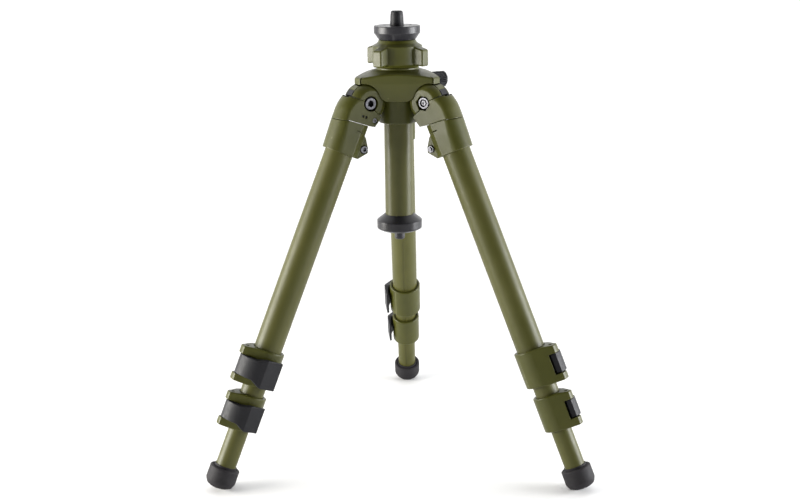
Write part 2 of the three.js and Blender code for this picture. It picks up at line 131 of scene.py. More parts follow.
def all_of(parts, r=0.01):
    """Where every part overlaps, with rounded edges."""
    outside = sum(np.maximum(part + r, 0) ** 2 for part in parts)
    deepest = parts[0]
    for part in parts[1:]:
        deepest = np.maximum(deepest, part)
    return np.minimum(deepest + r, 0) + np.sqrt(outside) - r


def outline(x, y, corners):
    """The distance to a closed outline."""
    best = np.full(np.shape(x), np.inf)
    inside = np.zeros(np.shape(x), bool)
    for (ax, ay), (bx, by) in zip(corners, corners[1:] + corners[:1]):
        ex, ey = bx - ax, by - ay
        along = np.clip(((x - ax) * ex + (y - ay) * ey) / (ex * ex + ey * ey), 0, 1)
        best = np.minimum(best, (x - ax - ex * along) ** 2 + (y - ay - ey * along) ** 2)
        if ey:
            inside ^= ((ay > y) != (by > y)) & (x < ax + ex * (y - ay) / ey)
    return np.where(inside, -1, 1) * np.sqrt(best)


def eased(points, rounds=2):
    """Softens the bends of an open line, by cutting its corners."""
    for _ in range(rounds):
        cut = [points[0]]
        for (ax, ay), (bx, by) in zip(points, points[1:]):
            cut.append((0.75 * ax + 0.25 * bx, 0.75 * ay + 0.25 * by))
            cut.append((0.25 * ax + 0.75 * bx, 0.25 * ay + 0.75 * by))
        points = cut + [points[-1]]
    return points


def hexagon(x, y, corner):
    """The distance to a hexagon with a corner on the X axis."""
    flat = np.maximum(np.abs(y), np.abs(x) * math.sin(math.pi / 3) + np.abs(y) / 2)
    return flat - corner * math.cos(math.pi / 6)


def step(x, low, high):
    """0 below low, 1 above high, and smooth between."""
    s = np.clip((x - low) / (high - low), 0, 1)
    return s * s * (3 - 2 * s)


def folded(x, y, start, turn):
    """Distances along and across the nearest of several arms, one every turn."""
    nearest = np.round((np.arctan2(y, x) - start) / turn) * turn + start
    along = x * np.cos(nearest) + y * np.sin(nearest)
    across = np.abs(y * np.cos(nearest) - x * np.sin(nearest))
    return along, across


# ---------------------------------------------------------------- meshes
def surface(field, low, high, cell):
    """Surface nets: one point in each cell that the surface crosses, moved onto the surface."""
    low = np.array(low, float)
    counts = [int(math.ceil((b - a) / cell)) + 1 for a, b in zip(low, high)]
    grid = np.meshgrid(*(a + cell * np.arange(n) for a, n in zip(low, counts)), indexing="ij")
    value = field(*grid)
    inside = value < 0
    corners = [(i, j, k) for i in (0, 1) for j in (0, 1) for k in (0, 1)]
    n = np.array(value.shape) - 1
    filled = sum(inside[i:n[0] + i, j:n[1] + j, k:n[2] + k].astype(np.int8) for i, j, k in corners)
    active = (filled > 0) & (filled < 8)
    number = np.full(active.shape, -1)
    number[active] = np.arange(active.sum())
    at = np.argwhere(active)
    total = np.zeros((len(at), 3))
    hits = np.zeros(len(at))
    for axis in range(3):
        unit = np.eye(3, dtype=int)[axis]
        for offset in corners:
            if offset[axis]:
                continue
            start = at + offset
            a = value[tuple(start.T)]
            b = value[tuple((start + unit).T)]
            crossed = (a < 0) != (b < 0)
            share = a[crossed] / (a[crossed] - b[crossed])
            total[crossed] += start[crossed] + share[:, None] * unit
            hits[crossed] += 1
    points = low + cell * total / hits[:, None]
    quads = []
    for axis in range(3):
        b, c = (axis + 1) % 3, (axis + 2) % 3
        before = np.take(inside, range(n[axis]), axis)
        after = np.take(inside, range(1, n[axis] + 1), axis)
        edges = np.argwhere(before != after)
        inner = (edges[:, b] > 0) & (edges[:, b] < n[b]) & (edges[:, c] > 0) & (edges[:, c] < n[c])
        edges = edges[inner]
        step_b, step_c = np.eye(3, dtype=int)[b], np.eye(3, dtype=int)[c]
        around = [edges - step_b - step_c, edges - step_c, edges, edges - step_b]
        quad = np.stack([number[tuple(cell_at.T)] for cell_at in around], 1)
        flip = ~before[tuple(edges.T)]
        quad[flip] = quad[flip][:, ::-1]
        quads.append(quad)
    points, normals = settle(field, points, cell)
    return points, np.concatenate(quads), normals


def slope_at(field, points, nudge):
    """The field's slope at each point, from its values a nudge away on both sides."""
    return np.stack([
        field(*(points + nudge * unit).T) - field(*(points - nudge * unit).T) for unit in np.eye(3)
    ], 1) / (2 * nudge)


def settle(field, points, cell, rounds=3):
    """Moves points onto the surface along the field's slope, and gives its normals."""
    nudge = cell / 4
    for _ in range(rounds):
        slope = slope_at(field, points, nudge)
        steepness = np.maximum(np.linalg.norm(slope, axis=1), 0.2)
        move = field(*points.T) / steepness ** 2
        points = points - slope * np.clip(move, -cell / 2, cell / 2)[:, None]
    slope = slope_at(field, points, nudge)
    return points, slope / np.linalg.norm(slope, axis=1).clip(1e-6)[:, None]


def rounded(corners, radius=0.5, steps=4):
    """A list of corners with each one turned into an arc. A corner may give its own radius."""
    made = []
    count = len(corners)
    for i, corner in enumerate(corners):
        here = Vector(corner[:2])
        reach = corner[2] if len(corner) > 2 else radius
        back = Vector(corners[i - 1][:2]) - here
        ahead = Vector(corners[(i + 1) % count][:2]) - here
        turn = back.angle(ahead)
        nearly_straight = turn > 3.1
        if reach <= 0 or here.x == 0 or nearly_straight:
            made.append(tuple(here))
            continue
        run = min(reach / math.tan(turn / 2), back.length * 0.45, ahead.length * 0.45)
        a, b = here + back.normalized() * run, here + ahead.normalized() * run
        for j in range(steps + 1):
            s = j / steps
            made.append(tuple(a * (1 - s) ** 2 + here * 2 * s * (1 - s) + b * s * s))
    return made


def lathe(profile, sides=96):
    """A profile of (radius, z), anticlockwise, turned about Z. It starts on the axis or closes."""
    angles = np.arange(sides) * 2 * math.pi / sides
    points, rings = [], []
    for r, z in profile:
        if r < 1e-6:
            rings.append([len(points)] * sides)
            points.append((0, 0, z))
            continue
        rings.append(list(range(len(points), len(points) + sides)))
        points.extend(zip(r * np.cos(angles), r * np.sin(angles), np.full(sides, z)))
    faces = []
    closed = profile[0][0] > 1e-6
    for i in range(len(rings) if closed else len(rings) - 1):
        low, high = rings[i], rings[(i + 1) % len(rings)]
        for j in range(sides):
            k = (j + 1) % sides
            face = [low[j], low[k], high[k], high[j]]
            face = [p for q, p in enumerate(face) if p != face[q - 1]]
            if len(face) > 2:
                faces.append(face)
    return points, faces, None


def height_map(radius, z_values, sides):
    """A closed skin with radius(angle, z) at each height: a thread or a knurl."""
    angles = np.arange(sides) * 2 * math.pi / sides
    points, faces = [], []
    for z in z_values:
        r = radius(angles, z)
        points.extend(zip(r * np.cos(angles), r * np.sin(angles), np.full(sides, z)))
    for i in range(len(z_values) - 1):
        for j in range(sides):
            k = (j + 1) % sides
            low, high = i * sides, (i + 1) * sides
            faces.append([low + j, low + k, high + k, high + j])
    faces.append(list(range(sides))[::-1])
    faces.append(list(range((len(z_values) - 1) * sides, len(z_values) * sides)))
    return points, faces, None


# ---------------------------------------------------------------- materials
RANGE_SOCKETS = ("From Min", "From Max", "To Min", "To Max")
MIX_FACTOR, MIX_VALUES, MIX_VALUE_RESULT = 0, (2, 3), 0
MIX_COLORS, MIX_COLOR_RESULT = (6, 7), 2
EDGE_HIGHLIGHT_RANGE = (0.52, 0.62)  # pointiness where the painted edge highlight starts and where it is complete


class Recipe:
    """A Principled material put together from nodes in a few calls."""

    def __init__(self, name, color, roughness, metallic=0.0, coat=0.0, specular=0.27):
        self.material = bpy.data.materials.new(name)
        self.material.use_nodes = True
        self.tree = self.material.node_tree
        self.shader = self.tree.nodes["Principled BSDF"]
        for key, value in (
            ("Base Color", (*color, 1)), ("Roughness", roughness), ("Metallic", metallic),
            ("Coat Weight", coat), ("Coat Roughness", 0.25), ("Specular IOR Level", specular),
        ):
            self.shader.inputs[key].default_value = value
        self.place = self.add("ShaderNodeTexCoord").outputs["Object"]

    def add(self, kind, **settings):
        made = self.tree.nodes.new(kind)
        for key, value in settings.items():
            setattr(made, key, value)
        return made

    def link(self, output, target):
        self.tree.links.new(output, target)

    def noise(self, scale, detail):
        """Noise with features about 1/scale metres across."""
        texture = self.add("ShaderNodeTexNoise")
        texture.inputs["Scale"].default_value = scale
        texture.inputs["Detail"].default_value = detail
        self.link(self.place, texture.inputs["Vector"])
        return texture.outputs["Fac"]

    def spread(self, source, low, high, out_low, out_high):
        """The range low to high of a value, spread over out_low to out_high."""
        node = self.add("ShaderNodeMapRange")
        for key, value in zip(RANGE_SOCKETS, (low, high, out_low, out_high)):
            node.inputs[key].default_value = value
        self.link(source, node.inputs["Value"])
        return node.outputs["Result"]

    def blend(self, factor, first, second):
        """A colour mix; first and second are colours or sockets."""
        node = self.add("ShaderNodeMix", data_type="RGBA")
        self.link(factor, node.inputs[MIX_FACTOR])
        for value, socket in zip((first, second), MIX_COLORS):
            if isinstance(value, tuple):
                node.inputs[socket].default_value = (*value, 1)
            else:
                self.link(value, node.inputs[socket])
        return node.outputs[MIX_COLOR_RESULT]

    def paint_edge_highlight(self, color, highlight_tint, amount):
        """The colour with a painted highlight: its convex edges lightened towards a lighter tint."""
        sharp = self.add("ShaderNodeNewGeometry").outputs["Pointiness"]
        edges = self.spread(self.spread(sharp, *EDGE_HIGHLIGHT_RANGE, 0, 1), 0, 1, 0, amount)
        return self.blend(edges, color, highlight_tint)

    def paint(self, color):
        self.link(color, self.shader.inputs["Base Color"])

    def gloss(self, noise, low, high):
        """Roughness that wanders between low and high."""
        self.link(self.spread(noise, 0.3, 0.7, low, high), self.shader.inputs["Roughness"])

    def bump(self, height, strength, distance):
        node = self.add("ShaderNodeBump")
        node.inputs["Strength"].default_value = strength
        node.inputs["Distance"].default_value = distance
        self.link(height, node.inputs["Height"])
        self.link(node.outputs["Normal"], self.shader.inputs["Normal"])


def painted(name, dark, light, highlight_tint, roughness, grain, grain_scale):
    """Satin paint with a fine orange peel, faint colour drift and a painted highlight on its convex edges.
    """
    recipe = Recipe(name, light, roughness, coat=0.08)
    drift = recipe.spread(recipe.noise(28, 4), 0.35, 0.65, 0, 1)
    # a painted highlight lightens the convex edges towards the lighter tint
    recipe.paint(recipe.paint_edge_highlight(recipe.blend(drift, dark, light), highlight_tint, 0.35))
    recipe.gloss(recipe.noise(160, 4), roughness - 0.04, roughness + 0.05)
    recipe.bump(recipe.noise(grain_scale, 2), grain, 0.0002)
    return recipe.material


def tube_paint(name, color, dark, light):
    """The tubes' smoother coat, with a faint drift of colour and gloss and no painted edge highlight."""
    recipe = Recipe(name, color, 0.44, coat=0.05)
    drift = recipe.spread(recipe.noise(22, 3), 0.35, 0.65, 0, 1)
    recipe.paint(recipe.blend(drift, dark, light))
    recipe.gloss(recipe.noise(90, 5), 0.4, 0.48)
    recipe.bump(recipe.noise(1500, 2), 0.05, 0.0002)
    return recipe.material


def moulded(name, color, lighter, roughness, scale, strength):
    """Black plastic or rubber with a moulded grain and a painted highlight on its convex edges."""
    recipe = Recipe(name, color, roughness, specular=0.24)
    drift = recipe.spread(recipe.noise(60, 4), 0.35, 0.7, 0, 1)
    # the tint of the painted edge highlight: 2.2 times the lighter colour
    highlight_tint = tuple(2.2 * c for c in lighter)
    recipe.paint(recipe.paint_edge_highlight(recipe.blend(drift, color, lighter), highlight_tint, 0.5))
    recipe.gloss(recipe.noise(300, 3), roughness - 0.05, roughness + 0.06)
    recipe.bump(recipe.noise(scale, 2), strength, 0.0002)
    return recipe.material


def plated(name, color, roughness):
    """Plated steel with a fine grain and a slightly cloudy gloss."""
    recipe = Recipe(name, color, roughness, metallic=1.0, specular=0.5)
    cloud = recipe.spread(recipe.noise(400, 4), 0.3, 0.7, 0, 1)
    recipe.paint(recipe.blend(cloud, tuple(0.8 * c for c in color), color))
    recipe.gloss(recipe.noise(900, 4), roughness - 0.06, roughness + 0.1)
    recipe.bump(recipe.noise(3000, 2), 0.08, 0.0001)
    return recipe.material


def floor_material():
    """A plain pale floor that glows away from the tripod, so that its far edge does not show."""
    recipe = Recipe("pale_floor", (0.9, 0.9, 0.9), 0.9)
    recipe.paint(recipe.blend(recipe.noise(3, 2), (0.89, 0.89, 0.89), (0.92, 0.92, 0.92)))
    distance = recipe.add("ShaderNodeVectorMath", operation="LENGTH")
    recipe.link(recipe.place, distance.inputs[0])
    glow = recipe.spread(distance.outputs["Value"], 0.7, 1.6, 0, 0.36)
    recipe.shader.inputs["Emission Color"].default_value = (1, 1, 1, 1)
    recipe.link(glow, recipe.shader.inputs["Emission Strength"])
    return recipe.material


# The lighter edge tints given to the castings and the black metal are painted highlights on their convex
# edges.
LOOKS = {
    "olive_casting": painted(
        "olive_cast_paint",
        dark=(0.044, 0.046, 0.0045), light=(0.053, 0.054, 0.007), highlight_tint=(0.18, 0.18, 0.08),
        roughness=0.42, grain=0.12, grain_scale=1300),
    "olive_tube": tube_paint(
        "olive_tube_coat", color=(0.062, 0.062, 0.0115),
        dark=(0.056, 0.056, 0.009), light=(0.067, 0.066, 0.0135)),
    "black_metal": painted(
        "black_satin_metal",
        dark=(0.013, 0.0125, 0.0155), light=(0.017, 0.0165, 0.02), highlight_tint=(0.08, 0.08, 0.085),
        roughness=0.36, grain=0.12, grain_scale=2200),
    "black_plastic": moulded(
        "black_grained_plastic", color=(0.0085, 0.0085, 0.0105), lighter=(0.012, 0.012, 0.0145),
        roughness=0.5, scale=1800, strength=0.2),
    "rubber": moulded(
        "black_rubber", color=(0.016, 0.0145, 0.0165), lighter=(0.021, 0.0195, 0.022),
        roughness=0.66, scale=900, strength=0.3),
    "steel": plated("zinc_plated_steel", color=(0.14, 0.14, 0.152), roughness=0.4),
    "nylon": moulded(
        "dark_nylon", color=(0.03, 0.03, 0.03), lighter=(0.04, 0.04, 0.04),
        roughness=0.5, scale=1200, strength=0.1),
}


# ---------------------------------------------------------------- pieces
SHARP_ANGLE = math.radians(38)


def new_piece(name, made, place, body, slot, stands_for=()):
    """A finished piece on a body. place takes the mesh from its own millimetres to the scene."""
    points, faces, normals = made
    mesh = bpy.data.meshes.new(name)
    faces = faces.tolist() if isinstance(faces, np.ndarray) else faces
    mesh.from_pydata([tuple(map(float, p)) for p in points], [], faces)
    mesh.transform(place)
    mesh.shade_smooth()
    if normals is None:
        mesh.set_sharp_from_angle(angle=SHARP_ANGLE)
    else:
        turn = np.array(place.to_3x3().normalized())
        mesh.normals_split_custom_set_from_vertices((normals @ turn.T).tolist())
    piece = bpy.data.objects.new(name, mesh)
    bpy.context.scene.collection.objects.link(piece)
    if normals is None:
        soften = piece.modifiers.new("even_shading", "WEIGHTED_NORMAL")
        soften.keep_sharp = True
    piece.data.materials.append(LOOKS[slot])
    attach(piece, body)
    if stands_for:
        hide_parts(*stands_for)


# ---------------------------------------------------------------- hub
def drum(rim, across):
    """The round hinge cheeks: a flat face, then a curve out to the rim."""
    radius, half, curve, centre = DRUM["radius"], DRUM["half"], DRUM["round"], DRUM["centre"]
    bend = np.hypot(np.maximum(rim - centre[0], 0), np.maximum(across - centre[1], 0)) - curve
    return both(both(rim - radius, bend), across - half, 0.3)


def hub_dome(along, across, radial, z):
    """The hub's three-cornered top: bowed aprons between the arms, under a slightly conical crown."""
    lean = APRON["out"] - 3.6 * np.clip((APRON["top"] - z) / 19, 0, 1.3) ** 1.4
    out = along * math.cos(ARM_STEP / 2) + across * math.sin(ARM_STEP / 2)
    beside = across * math.cos(ARM_STEP / 2) - along * math.sin(ARM_STEP / 2)
    apron = np.hypot(out - (lean - APRON["bow"]), beside) - APRON["bow"]
    end = along - ARM_END
    chamfer = (along + across - ARM_CHAMFER) * math.sqrt(0.5)
    corner = both(end, chamfer, 0.8)
    crown = (z - CROWN["height"] + CROWN["slope"] * np.maximum(radial - CROWN["from"], 0)) * 0.96
    return both(both(apron, corner, 1.2), crown, 1.8)


def hub_field(x, y, z):
    along, across = folded(x, y, ARM_START, ARM_STEP)
    u, h = along - PIN_RADIUS, z - PIN_HEIGHT
    rim = np.hypot(u, h)
    radial = np.hypot(x, y)

    # The dome ends above the legs' round cheeks, which turn in an arch under each arm.
    arch = both(drum(rim, across) - 1, SLOT_HALF - 0.2 - across, 0.3)
    below = both(390 - z, -arch, 5)
    made = both(hub_dome(along, across, radial, z), below, 0.9)

    # Each arm's tongue holds a hinge pin, and a channel for the leg's angle stop runs round it.
    lip_room = all_of([across - SLOT_HALF, h - 18.4, -10 - u])
    made = without(made, lip_room)
    neck = outline(u, h, [(-21, -4.5), (0, -13.1), (0, 13.1), (-8, 20), (-8, 28), (-21, 28)])
    tongue = both(np.minimum(rim - TONGUE["radius"], neck), across - TONGUE["half"], 0.5)
    made = either(made, tongue, 0.6)
    angle = np.arctan2(h, u)
    channel = all_of([
        rim - CHANNEL["outer"], CHANNEL["inner"] - rim, across - CHANNEL["half"],
        (CHANNEL["from"] - angle) * 12, (angle - CHANNEL["to"]) * 12,
    ], 0.3)
    made = without(made, channel, 0.4)
    groove = all_of([np.abs(across - 6.4) - 0.4, 3.6 - u, 15 - h])
    made = without(made, groove, 0.15)

    # The barrel round the column below the dome, and the boss above it.
    barrel = both(radial - BARREL["radius"], BARREL["bottom"] - z, 1.0)
    barrel = both(barrel, z - 400)
    boss = both(both(radial - BOSS["radius"], z - BOSS["top"], 0.8), 410 - z)
    made = either(either(made, barrel, 0.8), boss, 0.9)
    return without(made, radial - HUB_BORE, 0.5)


def collar_field(x, y, z):
    """The column's lock: a stepped barrel with four lobes."""
    radial = np.hypot(x, y)
    barrel = outline(radial, z, [
        (17, 423.8), (22.4, 423.8), (24.9, 426.7), (24.9, 444.1), (21, 446.3), (19.8, 447.4), (18.4, 449.7),
        (15.8, 449.7), (15.8, 447),
    ]) - 0.6
    along, across = folded(x, y, COLLAR_AZIMUTH, math.pi / 2)
    top = (z - LOBE["top"] + 0.28 * (along - 22)) * 0.96
    bottom = LOBE["bottom"] + 0.1 * (34.5 - along) - z
    lobe = all_of([along - LOBE["reach"], across - LOBE["half"], top, bottom, 18 - along], 1.8)
    return either(barrel, lobe, 1.2)


def knob_mesh():
    """The knurled side knob along Z, from its stem to its chamfered end."""
    inner, outer, radius = KNOB["inner"], KNOB["outer"], KNOB["radius"]
    chamfer = 1.2

    def skin(angles, z):
        edge = min(z - inner - 1.5, outer - 2.5 - z)
        depth = KNOB["tooth_depth"] * min(max(edge, 0), 1)
        ends = min(chamfer, max(0, chamfer - (outer - z)) + max(0, 1 - (z - inner)))
        teeth = np.abs(((angles * KNOB["teeth"] / (2 * math.pi)) % 1) - 0.5) * 2
        return radius - ends - depth * teeth ** 2

    heights = [inner, inner + 0.5, inner + 1, inner + 1.5, inner + 2.5]
    heights += list(np.linspace(inner + 3, outer - 4, 12))
    heights += [outer - 3.5, outer - 2.5, outer - 1.2, outer - 0.8, outer - 0.4, outer]
    return height_map(skin, heights, 240)


def add_hub():
    """The hub, the lock collar on it and the knob on its side."""
    hub = surface(hub_field, (-50, -44, 363), (50, 50, 425), CELL)
    new_piece("hub_shell", hub, STAND, "hub", "olive_casting", ["hub_casting"])
    collar = surface(collar_field, (-36, -36, 421), (36, 36, 452), FINE)
    new_piece("collar_shell", collar, STAND, "collar", "olive_casting", ["lock_collar"])
    turn = Matrix.Rotation(math.radians(KNOB["azimuth"]), 4, "Z") @ Matrix.Rotation(math.pi / 2, 4, "Y")
    place = STAND @ Matrix.Translation((0, 0, KNOB["height"])) @ turn
    new_piece("knob_grip", knob_mesh(), place, "knob", "black_plastic", ["side_knob"])
    root, tip, thick = 18, KNOB["inner"] + 0.5, 3
    stem = lathe(rounded([(0, root), (thick, root), (thick, tip), (0, tip)], 0.3), 48)
    new_piece("knob_stem", stem, place, "knob", "steel")


# ---------------------------------------------------------------- column
THREAD_PITCH = 25.4 / 16
STUD_RADIUS = 4.72
SET_SCREWS = {"out": 15.5, "first": 30}


def thread(angles, z):
    """The screw surface of a 3/8 inch stud with 16 threads to the inch."""
    phase = (z / THREAD_PITCH - angles / (2 * math.pi)) % 1
    return STUD_RADIUS - np.clip(np.abs(phase - 0.5) * 2.4 - 0.2, 0, 1)


def grooved_tube(radius, bore, low, high, depth):
    """An open tube with eased ends and a groove of the given depth along its side at -X."""
    sides, width, ease = 144, 1.3, 0.35
    angles = np.arange(sides) * 2 * math.pi / sides
    away = np.abs(angles % (2 * math.pi) - math.pi) * radius
    dip = depth * (1 - step(away, width / 3, width))
    rings = [(bore, low + ease, 0), (bore + ease, low, 0), (radius - ease, low, 1), (radius, low + ease, 1)]
    spans = max(2, int((high - low) / 12))
    rings += [(radius, low + (high - low) * i / spans, 1) for i in range(1, spans)]
    rings += [(radius, high - ease, 1), (radius - ease, high, 1)]
    rings += [(bore + ease, high, 0), (bore, high - ease, 0)]
    points, faces = [], []
    for r, z, grooved in rings:
        at_ring = r - dip * grooved
        points.extend(zip(at_ring * np.cos(angles), at_ring * np.sin(angles), np.full(sides, z)))
    for i in range(len(rings)):
        low_ring, high_ring = i * sides, ((i + 1) % len(rings)) * sides
        for j in range(sides):
            k = (j + 1) % sides
            faces.append([low_ring + j, low_ring + k, high_ring + k, high_ring + j])
    return points, faces, None


def set_screw():
    """A small screw, nearly flush with the top plate, with a shallow dish in its head."""
    return lathe(rounded([(0, 464.65), (1.5, 464.65), (1.5, 464.75), (0.9, 464.75), (0, 464.7)], 0.02), 24)


def add_column():
    """The column with a plate and a stud at each end."""
    tube = grooved_tube(COLUMN["radius"], COLUMN["bore"], COLUMN["bottom"], COLUMN_TOP, depth=0)
    new_piece("column_skin", tube, STAND, "column", "olive_tube", ["column_tube"])
    plate = lathe(rounded([
        (5.1, 438.6), (13, 438.6), (13, 450.6), (18.9, 450.6, 0.8), (23.7, 457.4, 1.6), (23.7, 464.6, 0.9),
        (7.5, 464.6, 0.2), (7.5, 463.8), (5.1, 463.8),
    ]), 128)
    new_piece("top_plate_turned", plate, STAND, "column", "black_metal", ["top_plate"])
    for i in range(3):
        turn = math.radians(SET_SCREWS["first"] + 120 * i)
        out = SET_SCREWS["out"]
        place = STAND @ Matrix.Translation((out * math.cos(turn), out * math.sin(turn), 0))
        new_piece(f"plate_set_screw_{i + 1}", set_screw(), place, "column", "black_plastic")
    heights = np.arange(439.6, 476.2, THREAD_PITCH / 12)
    stud = height_map(lambda a, z: np.minimum(thread(a, z), STUD_RADIUS - max(0, z - 475.2)), heights, 64)
    new_piece("top_stud_thread", stud, STAND, "column", "steel", ["top_stud"])
    cap = lathe(rounded([
        (5.06, 464.1), (7.1, 464.1, 0.3), (6.5, 475, 3), (5.9, 479.4, 1.7),
        (0, 479.4), (0, 477.5), (5.06, 477.5),
    ], 0.3, 6), 96)
    new_piece("stud_cap_moulding", cap, STAND, "cap", "black_plastic", ["stud_cap"])
    foot = lathe(rounded([
        (5.1, 249.5), (18, 249.5, 3), (23.8, 252.2, 1.6), (23.8, 260.9, 1.2), (15.5, 267.4, 0.8),
        (15.1, 267.4), (15.1, 261.7), (11, 261.7), (11, 268), (5.1, 268),
    ]), 128)
    new_piece("lower_plate_turned", foot, STAND, "column", "black_metal", ["lower_plate"])
    stud = lathe(rounded([
        (0, 239.5), (5.4, 239.5, 2.4), (5.4, 249.2, 0.4), (4.76, 249.2), (4.76, 266), (0, 266),
    ]), 64)
    new_piece("lower_stud_turned", stud, STAND, "column", "black_metal", ["lower_stud"])


# ---------------------------------------------------------------- leg castings
def tongue_sweep(n, a, z):
    """The room between the cheeks for the hub's tongue at every angle of the leg."""
    rim = np.hypot(n, z)
    sweep = np.where(n > 0, -z - 0.085 * n, -z + 0.7 * n) * 0.8
    return both(np.minimum(rim - 13.6, np.maximum(sweep, rim - 34)), a - SLOT_HALF)


def bolt_recess(n, t, z):
    """The hinge bolt's hole, with a round seat for its head and a hexagonal one for its nut."""
    rim = np.hypot(n, z)
    head = both(rim - 7.8, 9.3 - t)
    nut = both(hexagon(z, n, 8.1), 9.3 + t)
    return np.minimum(np.minimum(head, nut), rim - 4.3)


def knuckle_field(n, t, z):
    """The leg's two cheeks, above the seam, joined by a lug and a web between them."""
    a = np.abs(t)
    rim = np.hypot(n, z)
    seam = np.minimum(0, (n - 8.5) * SEAM_SLOPE) + 0.15
    made = both(drum(rim, a), (seam - z) * 0.95, 0.45)
    web = all_of([np.abs(n - 7) - 11.5, a - 10, np.abs(z + 13) - 8])
    lug = both(rim - 17.2, a - 11)
    made = np.minimum(made, np.minimum(lug, web))
    made = without(made, tongue_sweep(n, a, z), 0.4)
    return without(made, bolt_recess(n, t, z), 0.35)


def shoulder_field(n, t, z):
    """The casting under the seam: round outside, flat at the cheeks, hollow for the knuckle's web."""
    a = np.abs(t)
    s = -z
    radius = 19.2 - 2.6 * np.clip((16 - s) / 14, 0, 1.3) ** 1.8
    barrel = np.hypot(np.maximum(n - TUBE_OFFSET, 0), t) - radius
    plan = both(barrel, a - DRUM["half"], 1.2)
    seam_end = (-11.6 - 8.5) * SEAM_SLOPE - 0.3
    side = outline(n, z, [
        (30, -27.5), (16, -23.4), (-7.5, -21.6), (-13.5, -20.5),
        (-17, -8.6), (-11.6, seam_end), (8.5, -0.3), (30, -0.6),
    ])
    made = both(plan, side, 0.35)
    made = without(made, tongue_sweep(n, a, z), 0.4)
    rim = np.hypot(n, z)
    made = without(made, both(rim - 17.6, a - 11.4))
    made = without(made, all_of([np.abs(n - 7) - 12.3, a - 10.4, np.abs(z + 20) - 10]))
    made = without(made, bolt_recess(n, t, z), 0.35)
    screw = np.hypot(n - COUNTER_SCREW[0], z - COUNTER_SCREW[1])
    made = without(made, both(screw - 2.9, CHEEK_FACE - t), 0.2)
    for spot in PIN_SPOTS:
        made = without(made, both(np.hypot(n - spot, z - PIN_LEVEL) - 1.3, CHEEK_FACE - t))
    return made


def clamp_field(n, t, z):
    """The split clamp on the upper tube, with a lug for its pinch bolt."""
    a = np.abs(t)
    s = -z
    radius = 19.2 - 1.2 * np.clip((s - 27) / 30, 0, 1)
    barrel = np.hypot(np.maximum(n - TUBE_OFFSET, 0), t) - radius
    facet = -0.625 * n + 0.78 * a - 12.65
    plan = both(both(barrel, a - 15.7 - 0.5 * step(s, 22, 40), 1.4), facet, 0.6)
    side = outline(n, z, [(30, -57), (-9, -57), (-9, -21.8), (-7.5, -21.9), (16, -23.75), (30, -28)])
    made = both(plan, side, 0.35)
    lug = both(outline(n, z, [
        (-4, -32), (-8.5, -32), (-11.5, -34.3), (-17.4, -42.6), (-19.3, -47.8), (-10.8, -57), (-4, -57),
    ]), a - 9, 0.8)
    made = either(made, lug, 0.8)
    made = without(made, np.hypot(n - TUBE_OFFSET, t) - UPPER["radius"] - 0.25, 0.3)
    made = without(made, both(a - 0.8, n), 0.2)
    made = without(made, all_of([np.abs(s - 30.6) - 0.45, n - 5, 12.5 - a]), 0.15)
    bolt = np.hypot(n - CLAMP_BOLT[0], z - CLAMP_BOLT[1])
    made = without(made, both(bolt - 4.4, 6.1 - t), 0.2)
    nut = hexagon(n - CLAMP_BOLT[0], z - CLAMP_BOLT[1], 4.2)
    made = without(made, both(nut, 8.1 + t), 0.2)
    return without(made, bolt - 2.3)


def hinge_bolt_field(n, t, z):
    """A socket-head bolt, with the ringed nut on its other end."""
    rim = np.hypot(n, z)
    head = all_of([rim - 6.2, t - 14.4, 9.6 - t], 0.7)
    shank = both(rim - 4, np.abs(t) - 10)
    nut = all_of([hexagon(z, n, 7.4), -t - 11.4, 9.6 + t], 0.4)
    ring = both(both(rim - 5.9, -t - 13.8, 0.6), 11 + t)
    ring = without(ring, both(rim - 3.9, 11.6 + t), 0.25)
    tip = both(both(rim - 2.9, -t - 13.4, 0.6), 9 + t)
    made = np.minimum(np.minimum(head, shank), np.minimum(either(nut, ring, 0.3), tip))
    made = without(made, both(hexagon(n, z, 3.5), 7 - t), 0.25)
    return without(made, both(rim - 1.1, 12.4 + t), 0.3)


def clamp_bolt_field(x, t, z):
    """The pinch bolt about the Y axis: a round head, a plain shank and a nut."""
    rim = np.hypot(x, z)
    head = all_of([rim - 3.9, t - 9.6, 6.4 - t], 0.5)
    head = without(head, both(hexagon(x, z, 2.2), 7.6 - t), 0.2)
    shank = both(rim - 2, np.abs(t + 1.6) - 8.4, 0.3)
    nut = all_of([hexagon(x, z, 3.9), -t - 10.8, 8.3 + t], 0.4)
    tip = both(both(rim - 2, -t - 12, 0.5), t)
    return np.minimum(np.minimum(head, shank), np.minimum(nut, tip))


def stop_sector(low, high):
    """A field of one part of the angle stop: a curved block between two angles, in degrees."""
    a0, a1 = math.radians(low), math.radians(high)

    def field(n, t, z):
        rim, angle = np.hypot(n, z), np.arctan2(z, n)
        return all_of([rim - 19.7, 16.2 - rim, (a0 - angle) * 18, (angle - a1) * 18, np.abs(t) - 6.2], 0.6)
    return field


